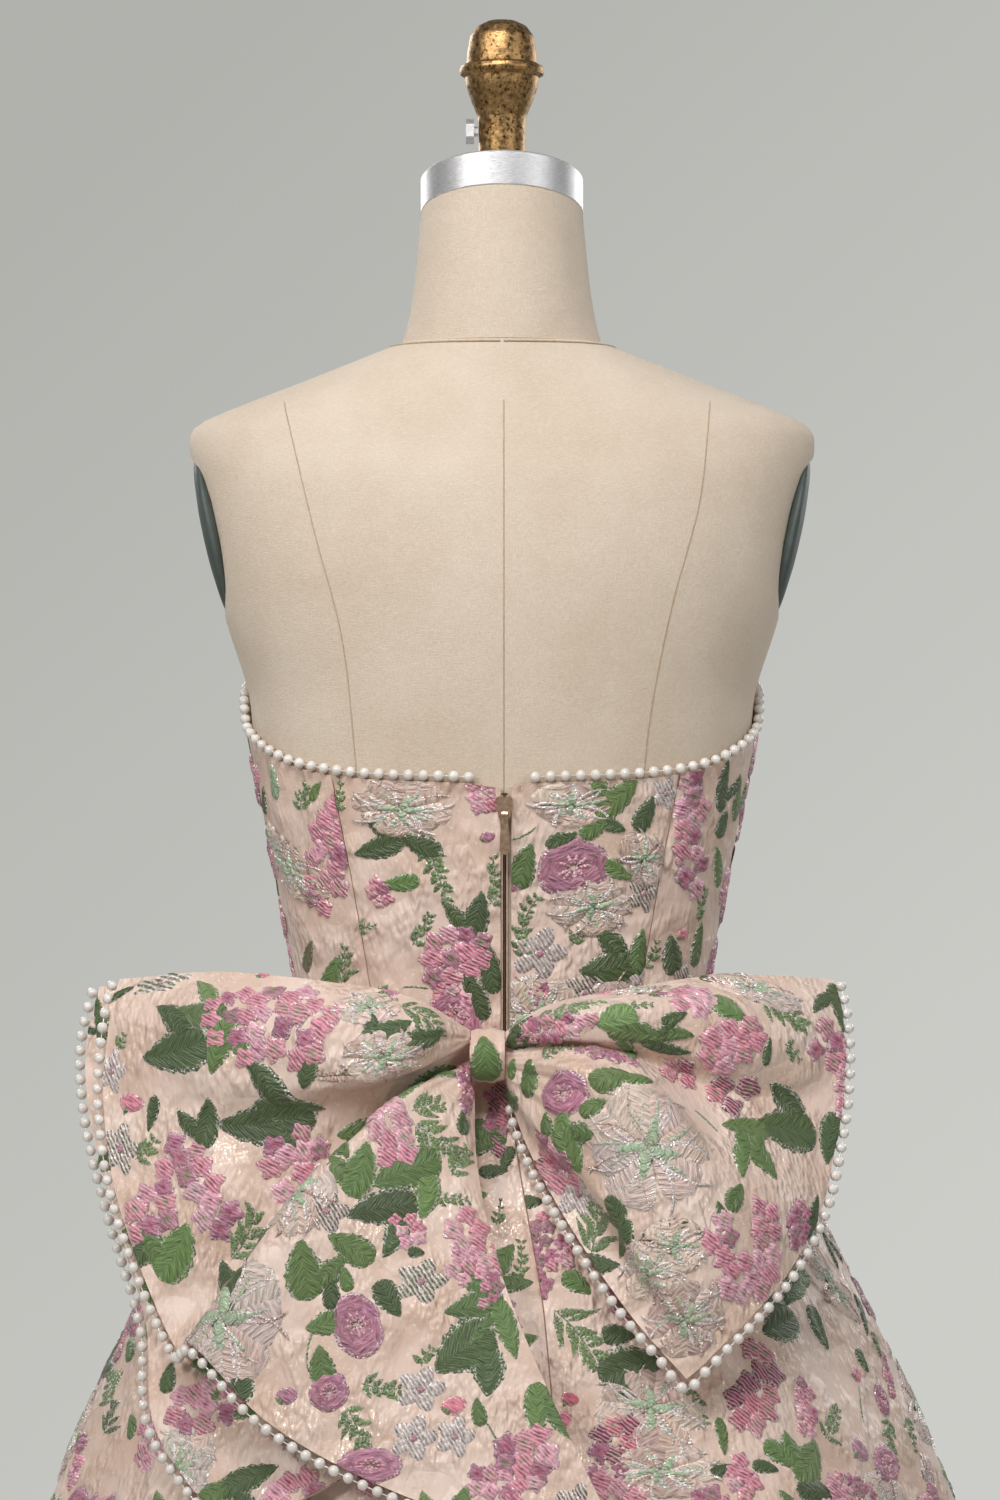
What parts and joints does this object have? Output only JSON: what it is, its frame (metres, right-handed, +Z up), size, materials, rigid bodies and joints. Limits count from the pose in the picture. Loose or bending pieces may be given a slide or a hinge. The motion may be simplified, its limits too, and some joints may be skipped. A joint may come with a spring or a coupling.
{
  "type": "homecoming dress on a dress form",
  "caption": "Strapless floral jacquard homecoming dress with pearl edging, a back zip and a large draped back bow, standing on a limbless linen dress form",
  "frame": {"origin": "centre of the round base's underside, on the floor and under the form's pole", "axes": "+Z up, -Y out of the back of the dress where the bow and the zip are, +Y out of its front, +X towards the wearer's right side"},
  "size_m": [0.7087, 0.6215, 1.656],
  "materials": {
    "brocade": "blush satin jacquard with woven pink, mauve and green flowers and metallic threads",
    "pearl": "lustrous white imitation pearl",
    "zip_metal": "rose gold, smooth",
    "zip_tape": "woven zip chain and tape, dark rose",
    "linen": "beige linen twill stretched over the form",
    "arm_cover": "dark grey green, satin",
    "steel": "brushed",
    "bronze": "cast, antique bronze coating with dark speckle",
    "stand_metal": "satin"
  },
  "bodies": {
    "dress_and_form": {"form_torso": "linen", "arm_plate_left": "arm_cover", "arm_plate_right": "arm_cover", "form_neck": "linen", "neck_ring": "steel", "neck_cap": "bronze", "set_screw": "steel", "stand_base": "stand_metal", "stand_pole": "stand_metal", "bodice_back_left": "brocade", "bodice_back_right": "brocade", "bodice_side_back_left": "brocade", "bodice_side_back_right": "brocade", "bodice_side_front_left": "brocade", "bodice_side_front_right": "brocade", "bodice_front": "brocade", "skirt_back_left": "brocade", "skirt_back_right": "brocade", "skirt_front": "brocade", "bow_left_front": "brocade", "bow_right_front": "brocade", "bow_left_back": "brocade", "bow_right_back": "brocade", "bow_knot": "brocade", "pearls_neckline": "pearl", "pearls_bow_left_front": "pearl", "pearls_bow_right_front": "pearl", "pearls_bow_left_back": "pearl", "pearls_bow_right_back": "pearl", "zip_chain": "zip_tape", "zip_slider": "zip_metal"},
    "pull_tab": {"zip_pull": "zip_metal"}
  },
  "joints": [
    {"name": "pull_tab_hinge", "type": "hinge", "parent": "dress_and_form", "child": "pull_tab", "pos_m": [0.0015, -0.09861, 1.1734], "axis": [-1, 0, 0], "range_deg": [-3, 150]}
  ]
}
